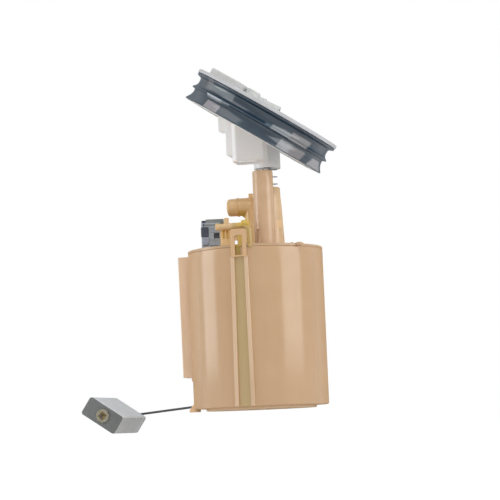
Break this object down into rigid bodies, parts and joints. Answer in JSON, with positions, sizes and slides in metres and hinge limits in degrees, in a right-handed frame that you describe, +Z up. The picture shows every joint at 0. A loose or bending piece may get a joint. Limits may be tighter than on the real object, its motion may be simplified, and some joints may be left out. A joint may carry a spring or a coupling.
{
  "type": "fuel pump module",
  "caption": "In-tank fuel pump module: reservoir cup with pump, cover with guide tubes and hose spigots, tilted flange with seal on a sprung rod, and a float arm.",
  "frame": {"origin": "Centre of the underside of the base plate, on the axis of the reservoir cup.", "axes": "+Z runs up the cup axis to the flange. +X is the way the flange slopes down. -Y is the side of the cup with the front rail and the snap strap. The float hangs on the -X side."},
  "size_m": [0.223, 0.133, 0.2995],
  "materials": {
    "cup": "satin moulded acetal",
    "base": "satin moulded acetal",
    "screen": "woven filter mesh",
    "valve_rubber": "soft fluoro rubber",
    "cover": "satin moulded acetal",
    "amber": "translucent moulded acetal",
    "pump_steel": "zinc plated steel",
    "pump_plastic": "glass filled plastic",
    "impeller": "phenolic",
    "steel": "ground steel",
    "iron": "laminated iron",
    "copper": "copper segments",
    "ferrite": "ferrite",
    "carbon": "pressed carbon",
    "rubber": "moulded rubber",
    "mesh_sock": "woven strainer",
    "brass": "turned brass",
    "plug": "dark moulded plug",
    "flange": "white moulded acetal",
    "seal": "glossy seal rubber",
    "socket": "light grey moulded plastic",
    "pins": "tinned pins",
    "spring": "spring steel",
    "card": "ceramic card",
    "float": "closed cell float",
    "arm": "drawn wire"
  },
  "bodies": {
    "reservoir": {"reservoir_cup": "cup", "base_plate": "base", "inlet_screen": "screen", "floor_valve": "valve_rubber", "top_cover": "cover", "pump_holder": "cover", "guide_tube": "cover", "pump_case": "pump_steel", "pump_inlet_cover": "pump_plastic", "pump_chamber_plate": "pump_plastic", "motor_magnets": "ferrite", "pump_end_cap": "pump_plastic", "pump_brushes": "carbon", "pump_isolator": "rubber", "pump_strainer": "mesh_sock", "jet_pump": "amber", "outlet_elbow": "cover", "outlet_seal": "rubber", "regulator_tower": "cover", "regulator_seat": "brass", "regulator_spring": "spring", "regulator_adjuster": "steel", "return_nipple": "amber", "wiring_receptacle": "amber", "wiring_plug": "plug", "guide_spring": "spring", "sender_plate": "amber", "sender_card": "card"},
    "flange": {"flange_plate": "flange", "flange_columns": "flange", "flange_seal": "seal", "flange_connector": "socket", "flange_pins": "pins", "guide_rod": "steel", "rod_retainer": "steel"},
    "float_arm": {"float_arm": "arm", "sender_hub": "amber", "sender_wiper": "brass", "float_nut": "brass"},
    "float": {"float": "float"},
    "pump_rotor": {"pump_shaft": "steel", "impeller": "impeller", "armature": "iron", "commutator": "copper"},
    "outlet_check": {"check_poppet": "brass"},
    "regulator_valve": {"regulator_piston": "brass"}
  },
  "joints": [
    {"name": "flange_slide", "type": "slide", "parent": "reservoir", "child": "flange", "axis": [0, 0, 1], "range_m": [-0.025, 0], "stiffness_N_per_m": 500, "springref_m": 0.03, "deforming": ["guide_spring"]},
    {"name": "float_lift", "type": "hinge", "parent": "reservoir", "child": "float_arm", "pos_m": [-0.018, 0.06, 0.05], "axis": [0, 1, 0], "range_deg": [0, 60]},
    {"name": "float_turn", "type": "hinge", "parent": "float_arm", "child": "float", "pos_m": [-0.1344, 0.025, 0.0004], "axis": [0, 1, 0], "continuous": true},
    {"name": "rotor_spin", "type": "hinge", "parent": "reservoir", "child": "pump_rotor", "pos_m": [0, 0, 0.05], "axis": [0, 0, 1], "continuous": true},
    {"name": "check_lift", "type": "slide", "parent": "reservoir", "child": "outlet_check", "axis": [0, 0, 1], "range_m": [0, 0.002]},
    {"name": "regulator_lift", "type": "slide", "parent": "reservoir", "child": "regulator_valve", "axis": [0, 0, 1], "range_m": [0, 0.002], "stiffness_N_per_m": 1000, "springref_m": -0.004, "deforming": ["regulator_spring"]}
  ]
}
